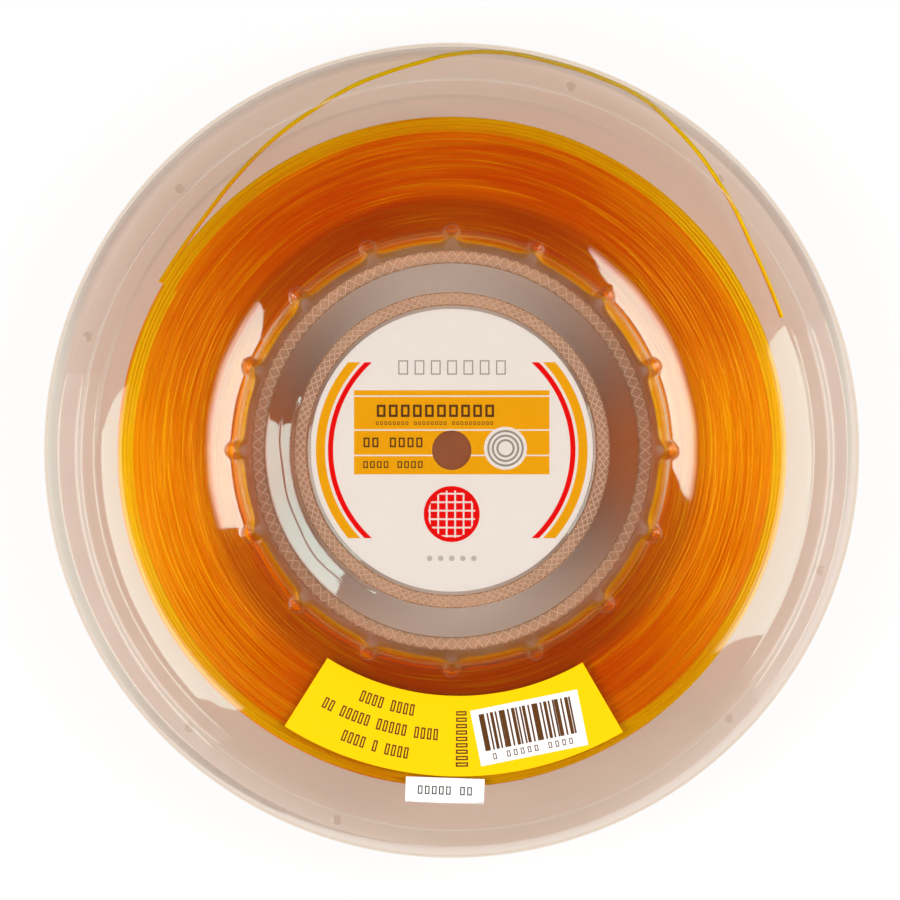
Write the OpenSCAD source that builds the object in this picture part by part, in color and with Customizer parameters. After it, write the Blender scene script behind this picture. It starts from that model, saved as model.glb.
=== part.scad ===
// String reel for racket strings: two clear formed shells welded back to back around a
// printed centre label, with the string wound on the hub wall between their flanges.
// The reel lies on its rear face. Its axis is Z, and the front face looks up along +Z.

/* [Reel] */
// Outside diameter over the rims
reel_d = 250; // [236:1:290]
// Thickness from face to face
reel_t = 22; // [19:0.5:30]
// Thickness of the clear sheet that both shells are formed from
sheet_t = 0.6; // [0.4:0.05:0.8]
// Gap between the two rims, through which the string is drawn out
lip_gap = 0.4; // [0.2:0.1:1]
// Clearance between the string and the shells
clearance = 0.3; // [0.2:0.05:0.5]

/* [Rim] */
// Radius of the rolled edge of the rim
lip_r = 3.4; // [2:0.1:4.5]
// Width of the flat shelf inside the rolled edge
rim_shelf_w = 5.6; // [4.6:0.1:8]
// Width of the step down to the rim's shelf
step_w = 2; // [1:0.1:3]
// Height of that step
step_drop = 1.2; // [0.6:0.1:1.8]
// Width of the narrow shelf between the step and the flange's shoulder
inner_shelf_w = 4; // [2:0.1:6]
// Width of the rounded shoulder where the flange falls away from its face
shoulder_w = 9.5; // [7:0.1:12]
// How far the shoulder falls
shoulder_drop = 3; // [2:0.1:3.5]
// Diameter of the small vent pips on the rim's shelf
pip_d = 2.8; // [1.5:0.1:4]
// Height of the vent pips
pip_h = 0.3; // [0.1:0.05:0.6]
// Vent pips on each shell
pip_count = 4; // [2:1:8]
// Angle of the first pip on the front shell
front_pip_at = 72.3; // [0:0.1:90]
// Angle of the first pip on the rear shell
rear_pip_at = 46; // [0:0.1:90]

/* [Hub] */
// Diameter of the hole for the stand's spindle
spindle_d = 11.5; // [8:0.5:20]
// Diameter of the hub wall where it meets the web
hub_d = 124; // [112:1:132]
// How far the hub wall leans outwards between the web and the face
wall_lean = 6; // [4:0.1:7]
// Size of the bend at the hub wall's foot
foot_bend = 1.2; // [0.8:0.1:2]
// How far the rounded collar reaches down the hub wall
collar_h = 7.4; // [5:0.1:8]
// How far the rounded collar reaches out over the flat face
collar_w = 14.5; // [9:0.1:16]
// Flutes around the hub wall, which carry the string clear of it
flute_count = 16; // [8:1:20]
// Width of a flute at the foot of the hub wall
flute_foot_w = 3.6; // [2.4:0.1:4.4]
// Width of a flute at the top of the hub wall
flute_top_w = 6; // [4.8:0.1:7]
// How far a flute stands out from the hub wall
flute_out = 1.3; // [0.8:0.1:1.6]

/* [Weld rings] */
// Width of the two knurled rings that weld the shells together
weld_w = 4; // [2.5:0.1:5]
// Depth that each weld ring is pressed into the sheet
weld_deep = 0.15; // [0.05:0.01:0.25]
// Margin between the outer weld ring and the hub wall's foot
weld_margin = 0.6; // [0.2:0.1:2]

/* [Centre label] */
// Diameter of the printed card disc between the two webs
label_d = 86.8; // [60:0.2:92]
// Thickness of the card
label_t = 0.3; // [0.2:0.05:0.5]
// Play between the card and its pocket or the spindle hole
label_play = 0.3; // [0.1:0.05:0.6]
// Margin between the card and the inner weld ring
label_margin = 1.1; // [0.9:0.1:3]

/* [Stickers] */
// Thickness of the stickers on the front flange
sticker_t = 0.12; // [0.05:0.01:0.25]
// Width of the curved size sticker, across the flange
size_label_w = 24.5; // [12:0.5:25]
// Angle that the size sticker spans
size_label_span = 62.5; // [20:0.5:120]
// Direction in which the size sticker's middle lies
size_label_at = 269; // [180:0.5:360]
// Margin between the size sticker and the flange's shoulder
size_label_inset = 1.1; // [0.2:0.1:4]
// How far the size sticker was put on off centre
size_label_shift = 2.1; // [0:0.1:3]
// Length of the small batch sticker
batch_label_l = 24; // [10:0.5:36]
// Height of the small batch sticker
batch_label_h = 7.8; // [4:0.1:9]
// Corner radius of the batch sticker
batch_label_r = 1; // [0.4:0.1:2]
// Gap between the two stickers
sticker_gap = 0.4; // [0.3:0.1:2]
// How far the batch sticker lies left of the reel's middle
batch_label_left = 2.1; // [0:0.1:10]
// Tilt of the batch sticker
batch_label_tilt = -2; // [-5:0.5:5]

/* [String] */
// Diameter of the string
string_d = 1.3; // [1.1:0.01:1.5]
// Gap between the full winding and the edge of the rim
winding_gap = 22.2; // [20:0.1:45]
// Radius of the slight crown across the winding
winding_crown = 40; // [25:1:80]

/* [Hidden] */
$fn = 96;

mid_z = reel_t / 2;
reel_r = reel_d / 2;
face_h = reel_t / 2;
spindle_r = spindle_d / 2;
foot_r = hub_d / 2;
collar_r = foot_r + wall_lean;
collar_top_r = collar_r + collar_w;
label_r = label_d / 2;
label_hole_r = spindle_r + label_play;
pocket_r = label_r + label_play;
pocket_step = 0.4;
crease_flat = 0.3;
pocket_h = label_t / 2;
inner_weld_r = label_r + label_margin;
outer_weld_r = foot_r - weld_margin - weld_w;

lip_in_r = reel_r - lip_r;
step_out_r = lip_in_r - rim_shelf_w;
step_in_r = step_out_r - step_w;
crease_r = step_in_r - inner_shelf_w;
shoulder_r = crease_r - shoulder_w;
shoulder_h = face_h - shoulder_drop;
rim_shelf_h = shoulder_h - step_drop;
winding_r = reel_r - winding_gap;

// Length of the flats that a bend is made of, and the fewest flats in one
bend_flat = 1.1;
least_flats = 4;
// How far a cutting shape runs past what it cuts
over = 5;

// A corner of an outline is [radius, height, before, after]. Its bend is a curve that
// starts and ends that far from the corner, and leaves the corner sharp where both are 0.
function unit(v) = v / norm(v);
function bent(a, b, c, before, after) =
    let (start = b + unit(a - b) * before, end = b + unit(c - b) * after,
        steps = max(least_flats, round((before + after) / 2 / bend_flat)))
    [for (i = [0:steps]) let (s = i / steps)
        (1 - s) * (1 - s) * start + 2 * s * (1 - s) * b + s * s * end];
function spot(corner) = [corner[0], corner[1]];
function rounded(path) = [
    for (i = [0:len(path) - 1])
        each path[i][2] == 0
            ? [spot(path[i])]
            : bent(spot(path[i - 1]), spot(path[i]), spot(path[i + 1]),
                path[i][2], path[i][3])];

// Moves a path sideways by a distance, towards the reel's middle plane where it is above 0.
function side(a, b) = let (d = unit(b - a)) [d[1], -d[0]];
function shifted(path, by) = [
    for (i = [0:len(path) - 1])
        let (before = side(path[max(i - 1, 0)], path[max(i, 1)]),
            after = side(path[min(i, len(path) - 2)], path[min(i + 1, len(path) - 1)]))
        path[i] + (before + after) * by / (1 + before * after)];
function reversed(path) = [for (i = [len(path) - 1:-1:0]) path[i]];

// The outer face of one shell, from the spindle hole to the lip. Heights are measured
// from the middle plane, where the two shells meet.
web_outline = [
    [spindle_r, pocket_h + sheet_t, 0, 0],
    [pocket_r, pocket_h + sheet_t, 0, 0],
    [pocket_r + pocket_step, sheet_t, 0, 0],
    [foot_r, sheet_t, foot_bend, foot_bend]];
shoulder_bend = shoulder_w / 2;
shoulder_fall = norm([shoulder_bend, shoulder_drop]);
flange_outline = [
    [collar_r, face_h, collar_h, collar_w],
    [crease_r - shoulder_bend, face_h, shoulder_bend, shoulder_fall - crease_flat],
    [crease_r, shoulder_h, 0, 0]];
step_bend = step_w / 4;
rim_outline = [
    [step_in_r, shoulder_h, step_bend, step_bend],
    [step_out_r, rim_shelf_h, step_bend, step_bend],
    [reel_r, rim_shelf_h, lip_r, lip_r],
    [reel_r, lip_gap / 2, 0, 0]];
outer_face = rounded(concat(web_outline, flange_outline, rim_outline));
inner_face = shifted(outer_face, sheet_t);

// A flute is a cone that leans outwards with the wall and stands out from it.
flute_foot_r = foot_r + flute_out - flute_foot_w / 2;
flute_lean = wall_lean - (flute_top_w - flute_foot_w) / 2;
flute_len = norm([flute_lean, face_h]);
flute_tilt = atan2(flute_lean, face_h);
function flute_w(at) = flute_foot_w + (flute_top_w - flute_foot_w) * at / flute_len;

// The flutes' crest at a height above the middle plane, grown by some thickness.
flute_flare = atan2((flute_top_w - flute_foot_w) / 2, flute_len);
crest_tilt = flute_tilt + flute_flare;
function crest_r(h, grow) = flute_foot_r + h * tan(crest_tilt)
    + (flute_foot_w / 2 + grow) * cos(flute_flare) / cos(crest_tilt);

// Everything between the middle plane and a path, as a solid of revolution.
module below(path) {
    rotate_extrude()
        polygon(concat(path, [[path[len(path) - 1][0], 0], [path[0][0], 0]]));
}

// The flutes of one shell, grown by the sheet's thickness for its other side.
module flutes(grow, floor_h) {
    intersection() {
        for (i = [0:flute_count - 1])
            rotate([0, 0, i * 360 / flute_count])
                translate([flute_foot_r, 0, 0])
                    rotate([0, flute_tilt, 0])
                        translate([0, 0, -over])
                            cylinder(h = flute_len + 2 * over,
                                r1 = flute_w(-over) / 2 + grow,
                                r2 = flute_w(flute_len + over) / 2 + grow);
        translate([0, 0, floor_h])
            cylinder(h = reel_t, r = shoulder_r);
    }
}

// A flat ring, such as the mark that a weld leaves.
module ring(in_r, out_r, h) {
    difference() {
        cylinder(h = h, r = out_r);
        translate([0, 0, -1])
            cylinder(h = h + 2, r = in_r);
    }
}

// One shell with its middle plane at z = 0 and its face up.
module shell(pip_at) {
    difference() {
        below(outer_face);
        difference() {
            below(inner_face);
            flutes(sheet_t, -over);
        }
        flutes(0, sheet_t);
        for (weld_r = [inner_weld_r, outer_weld_r])
            translate([0, 0, sheet_t - weld_deep])
                ring(weld_r, weld_r + weld_w, over);
    }
    for (i = [0:pip_count - 1])
        rotate([0, 0, pip_at + i * 360 / pip_count])
            translate([(step_out_r + lip_in_r) / 2, 0, rim_shelf_h])
                cylinder(h = pip_h, r = pip_d / 2);
}

module front_shell() {
    color([0.88, 0.84, 0.8, 0.4])
        translate([0, 0, mid_z])
            shell(front_pip_at);
}

module rear_shell() {
    color([0.84, 0.8, 0.76, 0.4])
        translate([0, 0, mid_z])
            mirror([0, 0, 1])
                shell(rear_pip_at);
}

module centre_label() {
    color("white")
        translate([0, 0, mid_z - label_t / 2])
            ring(label_hole_r, label_r, label_t);
}

// The skin that a sticker on the front flange is cut from.
module sticker_skin() {
    on_flange = [for (p = outer_face) if (p[0] > foot_r + wall_lean / 2 && p[0] < step_in_r - step_bend) p];
    translate([0, 0, mid_z])
        rotate_extrude()
            polygon(concat(on_flange, reversed(shifted(on_flange, -sticker_t))));
}

size_label_out_r = shoulder_r - size_label_inset;

module size_label() {
    color("gold")
        intersection() {
            sticker_skin();
            translate([size_label_shift, 0, mid_z])
                rotate([0, 0, size_label_at - size_label_span / 2])
                    rotate_extrude(angle = size_label_span)
                        translate([size_label_out_r - size_label_w, 0])
                            square([size_label_w, reel_t]);
        }
}

module rounded_plate(l, h, r, t) {
    linear_extrude(t) {
        square([l - 2 * r, h], center = true);
        square([l, h - 2 * r], center = true);
        for (x = [-1, 1], y = [-1, 1])
            translate([x * (l / 2 - r), y * (h / 2 - r)])
                circle(r = r);
    }
}

module batch_label() {
    color("whitesmoke")
        intersection() {
            sticker_skin();
            translate([-batch_label_left,
                -size_label_out_r - sticker_gap - batch_label_h / 2, mid_z])
                rotate([0, 0, batch_label_tilt])
                    rounded_plate(batch_label_l, batch_label_h, batch_label_r, reel_t);
        }
}

// The wound string, as the solid that its turns fill between the two shells.
winding_side = shifted(outer_face, sheet_t + clearance);

module winding_half() {
    grow = sheet_t + clearance;
    intersection() {
        polygon(concat(winding_side, [[reel_r, 0], [spindle_r, 0]]));
        polygon([[crest_r(0, grow), 0], [crest_r(face_h, grow), face_h],
            [reel_r, face_h], [reel_r, 0]]);
        translate([winding_r - winding_crown, 0])
            circle(r = winding_crown);
    }
}

module string_winding() {
    color("orange")
        translate([0, 0, mid_z])
            rotate_extrude() {
                winding_half();
                mirror([0, 1])
                    winding_half();
            }
}

// The loose end of the string, from the winding round inside the rim to its cut end.
tail_route = [
    [-89.7, 51.7, 8], [-84.4, 60.2, 6], [-76.5, 71.5, 4.5], [-65.6, 85.3, 4],
    [-54.5, 96.3, 4.5], [-42.4, 105.1, 5], [-30.8, 112, 5.8], [-20.4, 116.2, 6],
    [-10.4, 119.3, 6.4], [0, 121.8, 7.4], [14.5, 122.4, 8.8], [30.6, 119.3, 9.3],
    [46, 114.4, 9.2], [59.4, 107.8, 8.3], [67.3, 100.9, 6.8], [76.4, 91, 5.9],
    [82.4, 82.4, 5.8], [87.1, 74.6, 5.3], [91.9, 64.4, 4.7], [96, 55.4, 4.6],
    [99, 48.3, 4.6], [101.8, 40.9, 4.6]];
tail_sides = 8;
rings_per_span = 3;

function catmull(p, i, s) =
    let (a = p[max(i - 1, 0)], b = p[i], c = p[i + 1], d = p[min(i + 2, len(p) - 1)])
    0.5 * (2 * b + (c - a) * s + (2 * a - 5 * b + 4 * c - d) * s * s
        + (3 * b - a - 3 * c + d) * s * s * s);
function curve(p, n) = concat(
    [for (i = [0:len(p) - 2], k = [0:n - 1]) catmull(p, i, k / n)], [p[len(p) - 1]]);

module tube(path, d, sides) {
    n = len(path);
    rings = [
        for (i = [0:n - 1])
            let (along = unit(path[min(i + 1, n - 1)] - path[max(i - 1, 0)]),
                across = unit(cross([0, 0, 1], along)),
                up = cross(along, across))
            for (k = [0:sides - 1])
                path[i] + d / 2 * (cos(k * 360 / sides) * across
                    + sin(k * 360 / sides) * up)];
    walls = [
        for (i = [0:n - 2], k = [0:sides - 1])
            let (j = (k + 1) % sides)
            each [[i * sides + k, (i + 1) * sides + k, (i + 1) * sides + j],
                [i * sides + k, (i + 1) * sides + j, i * sides + j]]];
    start_cap = [for (k = [0:sides - 1]) k];
    end_cap = [for (k = [sides - 1:-1:0]) (n - 1) * sides + k];
    polyhedron(rings, concat(walls, [start_cap, end_cap]));
}

module string_tail() {
    color("gold")
        tube(curve(tail_route, rings_per_span), string_d, tail_sides);
}

front_shell();
rear_shell();
centre_label();
size_label();
batch_label();
string_winding();
string_tail();
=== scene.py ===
import math

import bpy
import numpy as np
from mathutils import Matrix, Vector


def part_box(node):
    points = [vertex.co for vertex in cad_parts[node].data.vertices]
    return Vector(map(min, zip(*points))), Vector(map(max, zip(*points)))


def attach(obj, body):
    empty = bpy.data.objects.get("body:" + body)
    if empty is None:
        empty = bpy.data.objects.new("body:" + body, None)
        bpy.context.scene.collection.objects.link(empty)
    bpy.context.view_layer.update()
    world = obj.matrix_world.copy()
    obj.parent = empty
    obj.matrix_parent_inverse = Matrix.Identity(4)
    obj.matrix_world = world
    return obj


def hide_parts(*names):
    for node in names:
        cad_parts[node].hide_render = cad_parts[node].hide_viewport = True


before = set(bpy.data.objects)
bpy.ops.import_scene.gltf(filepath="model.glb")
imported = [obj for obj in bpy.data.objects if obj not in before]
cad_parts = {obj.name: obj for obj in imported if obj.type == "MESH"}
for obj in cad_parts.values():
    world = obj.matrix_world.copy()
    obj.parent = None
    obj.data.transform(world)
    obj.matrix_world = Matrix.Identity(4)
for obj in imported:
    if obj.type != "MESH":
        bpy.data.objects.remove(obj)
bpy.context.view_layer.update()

mm = 0.001
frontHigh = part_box("front_shell")[1]
reelRadius = frontHigh.x / mm
faceHeight = frontHigh.z / 2 / mm  # from the middle plane to a face
midZ = faceHeight  # the middle plane stands this far above the floor

camera = {"height": 1.5, "frameWidth": 0.2763, "x": -0.00053, "y": 0.00007, "sensor": 36.0}


def newObject(name, data):
    made = bpy.data.objects.new(name, data)
    bpy.context.scene.collection.objects.link(made)
    return made


def setCamera():
    c = camera
    data = bpy.data.cameras.new("camera")
    data.sensor_width = c["sensor"]
    # the frame's width lies in the reel's middle plane
    data.lens = c["sensor"] * (c["height"] - midZ * mm) / c["frameWidth"]
    eye = newObject("camera", data)
    eye.location = (c["x"], c["y"], c["height"])
    bpy.context.scene.camera = eye


setCamera()
print("camera set")


def step(operation, reflected=False):
    def made(self, *others):
        values = (*others, self) if reflected else (self, *others)
        return self.graph.math(operation, *values)
    return made


class Value:
    # an output socket that can stand in a sum
    def __init__(self, graph, socket):
        self.graph, self.socket = graph, socket

    __add__ = __radd__ = step("ADD")
    __mul__ = __rmul__ = step("MULTIPLY")
    __sub__, __rsub__ = step("SUBTRACT"), step("SUBTRACT", True)
    __truediv__, __rtruediv__ = step("DIVIDE"), step("DIVIDE", True)
    __gt__, __lt__, __abs__ = step("GREATER_THAN"), step("LESS_THAN"), step("ABSOLUTE")
    sin, cos, sqrt, fract = step("SINE"), step("COSINE"), step("SQRT"), step("FRACT")
    low, high, sign, power = step("MINIMUM"), step("MAXIMUM"), step("SIGN"), step("EXPONENT")

    def clipped(self):
        return self.high(0).low(1)

    def other(self, name):
        return Value(self.graph, self.socket.node.outputs[name])


class Graph:
    def __init__(self, tree):
        self.tree = tree

    def node(self, kind, settings=None, inputs=None, out=0):
        made = self.tree.nodes.new(kind)
        for name, setting in (settings or {}).items():
            if name == "stops":
                self.ramp(made.color_ramp, setting)
            else:
                setattr(made, name, setting)
        for key, value in (inputs or {}).items():
            if isinstance(value, Value):
                self.tree.links.new(value.socket, made.inputs[key])
            else:
                made.inputs[key].default_value = value
        return Value(self, made.outputs[out]) if made.outputs else None

    def ramp(self, ramp, stops):
        while len(ramp.elements) < len(stops):
            ramp.elements.new(0.5)
        for element, (place, share) in zip(ramp.elements, stops):
            element.position = place
            element.color = (share, share, share, 1)

    def math(self, operation, *values):
        return self.node("ShaderNodeMath", {"operation": operation}, dict(enumerate(values)))

    def mix(self, factor, first, second):
        first, second = [c if isinstance(c, Value) else (*c, 1) for c in (first, second)]
        return self.node("ShaderNodeMix", {"data_type": "RGBA"}, {0: factor, 6: first, 7: second}, 2)

    def vector(self, x=0.0, y=0.0, z=0.0):
        return self.node("ShaderNodeCombineXYZ", inputs={0: x, 1: y, 2: z})

    def noise(self, place, scale, detail=0.0):
        return self.node("ShaderNodeTexNoise", inputs={"Vector": place, "Scale": scale, "Detail": detail})

    def change(self, value, span, ends, **settings):
        # a value within the span, laid between the ends
        return self.node("ShaderNodeMapRange", settings, dict(enumerate((value, *span, *ends))))

    def shares(self, value, reach, places):
        # a share that changes with the value, up to the reach
        stops = [(place / reach, share) for place, share in places]
        return self.node("ShaderNodeValToRGB", {"stops": stops}, {0: value / reach})

    def plain(self, kind, colour, **inputs):
        return self.node(kind, inputs={"Color": (*colour, 1), **inputs})

    def blend(self, factor, first, second):
        return self.node("ShaderNodeMixShader", inputs={0: factor, 1: first, 2: second})


def newMaterial(name):
    material = bpy.data.materials.new(name)
    material.use_nodes = True
    material.node_tree.nodes.clear()
    return material, Graph(material.node_tree)


def objectPlace(graph):
    # the place on the piece in millimetres, with the reel's axis at 0, 0
    place = graph.node("ShaderNodeTexCoord", out="Object")
    split = graph.node("ShaderNodeSeparateXYZ", inputs={0: place})
    return split / mm, split.other("Y") / mm, split.other("Z") / mm


def length(x, y):
    return (x * x + y * y).sqrt()


def within(value, low, high):
    return (value > low) * (value < high)


def surface(graph, shader):
    graph.node("ShaderNodeOutputMaterial", inputs={"Surface": shader})


stringLook = {
    # the last colour of this row is a painted glint
    "radius": 0.65, "sheen": (1.0, 0.5, 0.0), "glint": (1.0, 0.62, 0.03), "paintedGlint": (1.0, 0.42, 0.0),
    "through": (0.97, 0.87, 0.64), "roughness": 0.45, "glintRoughness": 0.16, "ior": 2.85,
    "rimRadius": 84.0, "rimReach": 17.0, "anisotropy": 0.9, "anisotropyTurn": 0.25,
    # each pattern's scale along the turns and across them
    "fine": (0.03, 1.5), "broad": (0.02, 0.55), "streakDetail": 2.0, "patchScale": 0.022,
    # how much each pattern counts, how much more the fine one counts at the rim, and how much painted light
    # lightens the rim
    "fineShare": 0.55, "broadShare": 0.5, "patchShare": 0.5, "rimFine": 0.35, "rimPaintedLight": 0.15,
    "darkAt": 0.68, "lightSpan": 0.46, "streakFrom": 0.57, "streakGain": 7,
    # how far the shade follows the layer, by how much a face looks up
    "layerGain": 3, "layerFrom": 0.3, "layerMost": 2,
}


def stringMaterial(name, light, dark, glint=0.12, streaks=0.5):
    s = stringLook
    material, graph = newMaterial(name)
    x, y, _ = objectPlace(graph)
    radius = length(x, y)
    # long streaks along the turns, fine and broad, over slow patches
    fine, broad = [
        graph.noise(graph.vector(x * along, y * along, radius * across), 1.0, s["streakDetail"])
        for along, across in (s["fine"], s["broad"])]
    patches = graph.noise(graph.vector(x, y), s["patchScale"])
    # painted light: the string grows lighter towards the winding's outer rim, for the light its shoulder
    # catches
    edge = ((radius - s["rimRadius"]) / s["rimReach"]).high(0)
    pattern = fine * (edge * s["rimFine"] + s["fineShare"])
    pattern = pattern + broad * s["broadShare"] + patches * s["patchShare"]
    share = ((pattern + edge * edge * s["rimPaintedLight"] - s["darkAt"]) / s["lightSpan"]).clipped()
    # painted glints: thin yellow lines laid where the fine streaks run highest
    paintedGlint = ((fine - s["streakFrom"]) * s["streakGain"]).clipped() * streaks
    colour = graph.mix(paintedGlint, graph.mix(share, dark, light), s["paintedGlint"])
    # the clear string hides its own roundness, so its shade follows the layer more than each turn
    normal = graph.node("ShaderNodeNewGeometry", out="Normal")
    up = graph.node("ShaderNodeSeparateXYZ", inputs={0: normal}, out="Z")
    lean = (abs(up) * s["layerGain"] - s["layerFrom"]).high(0).low(s["layerMost"])
    layer = graph.vector(z=up.sign() * lean)
    soft = graph.node("ShaderNodeVectorMath", {"operation": "ADD"}, {0: normal, 1: layer})
    soft = graph.node("ShaderNodeVectorMath", {"operation": "NORMALIZE"}, {0: soft})
    body = graph.node("ShaderNodeBsdfPrincipled", inputs={
        "Base Color": colour, "Roughness": s["roughness"], "IOR": s["ior"], "Normal": soft,
        "Specular Tint": (*s["sheen"], 1), "Anisotropic": s["anisotropy"],
        "Anisotropic Rotation": s["anisotropyTurn"]})
    shine = graph.plain("ShaderNodeBsdfGlossy", s["glint"], Roughness=s["glintRoughness"])
    # lamplight passes through the string and is coloured by it
    through = graph.plain("ShaderNodeBsdfTransparent", s["through"])
    shadow = graph.node("ShaderNodeLightPath", out="Is Shadow Ray")
    surface(graph, graph.blend(shadow, graph.blend(glint, body, shine), through))
    return material


amberString = stringMaterial("amberString", (1.0, 0.22, 0.0), (0.78, 0.062, 0.0), 0.05, 0.5)
# the crossing turns are real strands in a lighter copy of the string, which paints their highlight lines
amberOverPaintedGlint = stringMaterial("amberOverPaintedGlint", (1.0, 0.28, 0.0), (0.85, 0.09, 0.0), 0.14, 0.6)
# the outermost turns are a lighter, yellower copy of the string: painted light that their shoulder catches
amberEdgePaintedLight = stringMaterial("amberEdgePaintedLight", (1.0, 0.52, 0.0), (0.88, 0.2, 0.0), 0.12, 0.5)
amberInner = stringMaterial("amberInner", (0.8, 0.28, 0.0), (0.72, 0.14, 0.0), 0.1, 0.4)
amberFoot = stringMaterial("amberFoot", (0.8, 0.36, 0.0), (0.74, 0.27, 0.0), 0.12, 0.4)
looseString = stringMaterial("looseString", (1.0, 0.74, 0.0), (0.96, 0.62, 0.0), 0.15, 0.0)

tailRoute = [
    (-0.0897, 0.0517, 0.008), (-0.0844, 0.0602, 0.006), (-0.0765, 0.0715, 0.0045), (-0.0656, 0.0853, 0.004),
    (-0.0545, 0.0963, 0.0045), (-0.0424, 0.1051, 0.005), (-0.0308, 0.112, 0.0058), (-0.0204, 0.1162, 0.006),
    (-0.0104, 0.1193, 0.0064), (0, 0.1218, 0.0074), (0.0145, 0.1224, 0.0088), (0.0306, 0.1193, 0.0093),
    (0.046, 0.1144, 0.0092), (0.0594, 0.1078, 0.0083), (0.0673, 0.1009, 0.0068), (0.0764, 0.091, 0.0059),
    (0.0824, 0.0824, 0.0058), (0.0871, 0.0746, 0.0053), (0.0919, 0.0644, 0.0047), (0.096, 0.0554, 0.0046),
    (0.099, 0.0483, 0.0046), (0.1018, 0.0409, 0.0046)]


def looseEnd():
    data = bpy.data.curves.new("stringTail", "CURVE")
    data.dimensions = "3D"
    data.bevel_depth = stringLook["radius"] * mm
    data.bevel_resolution = 3
    data.use_fill_caps = True
    spline = data.splines.new("BEZIER")
    spline.bezier_points.add(len(tailRoute) - 1)
    for point, spot in zip(spline.bezier_points, tailRoute):
        point.co = spot
        point.handle_left_type = point.handle_right_type = "AUTO"
    spline.resolution_u = 8
    data.materials.append(looseString)
    tail = newObject("stringTail", data)
    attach(tail, "root")
    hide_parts("string_tail")


looseEnd()
print("loose end laid")


def addPiece(name, points, faces, material, slot, *nodes, sharp=40):
    mesh = bpy.data.meshes.new(name)
    mesh.from_pydata([tuple(p) for p in points], [], faces)
    return finishPiece(name, mesh, material, slot, *nodes, sharp=sharp)


def finishPiece(name, mesh, material, slot, *nodes, sharp=40):
    mesh.polygons.foreach_set("use_smooth", [True] * len(mesh.polygons))
    mesh.set_sharp_from_angle(angle=math.radians(sharp))
    mesh.materials.clear()
    mesh.materials.append(material)
    piece = newObject(name, mesh)
    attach(piece, "root")
    if nodes:
        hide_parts(*nodes)
    return piece


def unit(v):
    return v / np.linalg.norm(v)


def rounded(corners, flat=0.6, least=4):
    # corners are (radius, height, bend before, bend after)
    spots = [np.array(c[:2], float) for c in corners]
    path = []
    for i, (_, _, before, after) in enumerate(corners):
        if before == 0:
            path.append(spots[i])
            continue
        start = spots[i] + unit(spots[i - 1] - spots[i]) * before
        end = spots[i] + unit(spots[i + 1] - spots[i]) * after
        steps = max(least, round((before + after) / 2 / flat))
        for s in np.linspace(0, 1, steps + 1):
            path.append((1 - s) ** 2 * start + 2 * s * (1 - s) * spots[i] + s * s * end)
    return np.array(path)


def closedRows(rows, steps, way=1):
    # faces between rows of points that close on themselves both ways
    faces = []
    for i in range(rows):
        a, b = i * steps, (i + 1) % rows * steps
        for j in range(steps):
            k = (j + 1) % steps
            faces.append((a + j, b + j, b + k, a + k)[::way])
    return faces


def lathe(name, path, steps, material, slot, *nodes, sharp=40):
    # a closed outline of (radius, height above the middle plane) turned about the axis
    turn = np.arange(steps) * 2 * math.pi / steps
    r, h = path[:, 0][:, None], path[:, 1][:, None]
    points = np.stack([r * np.cos(turn), r * np.sin(turn), h + midZ + 0 * turn], -1).reshape(-1, 3) * mm
    return addPiece(name, points, closedRows(len(path), steps), material, slot, *nodes, sharp=sharp)


sheetLook = {
    # the last tint paints the string's amber light onto the steep wall beside it
    "tint": (0.966, 0.945, 0.923), "steepTint": (0.93, 0.85, 0.75), "paintedWallGlow": (0.93, 0.76, 0.32),
    "steepFrom": 0.35, "steepGain": 1.6, "wall": (61.5, 72.0),
    "ior": 1.48, "mostGloss": 0.3, "rearGloss": 0.012, "strongest": 2.5, "glossReach": 100.0,
    # radius in millimetres and how much of the strongest gloss shows there
    "glossShare": ((0, 0.4), (48.4, 0.4), (48.7, 0.72), (58, 0.72), (58.5, 0.4), (61, 0.1), (65, 0.1),
                   (67, 0.78), (75.5, 0.78), (78, 0.4)),
    # the scale and detail of each noise, and the stretch of it that counts
    "scuffNoise": (0.35, 5.0), "scuffs": (0.35, 0.75), "roughness": (0.02, 0.05),
    "waveNoise": (0.05, 1.0), "waveStrength": 0.03, "waveDepth": 0.004,
    "frost": (0.96, 0.67, 0.5), "weldFrost": 0.36, "bandFrost": 0.13, "weldTint": (0.97, 0.88, 0.78),
    # the broken brown lines at the edges of the welds
    "weldLine": (0.3, 0.13, 0.05), "weldLines": (44.65, 48.35, 57.55, 61.25), "lineHalf": 0.16,
    "dotNoise": (0.9, 1.0), "dotFrom": 0.38, "dotGain": 5, "dotRange": (0.1, 0.75),
}


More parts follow.
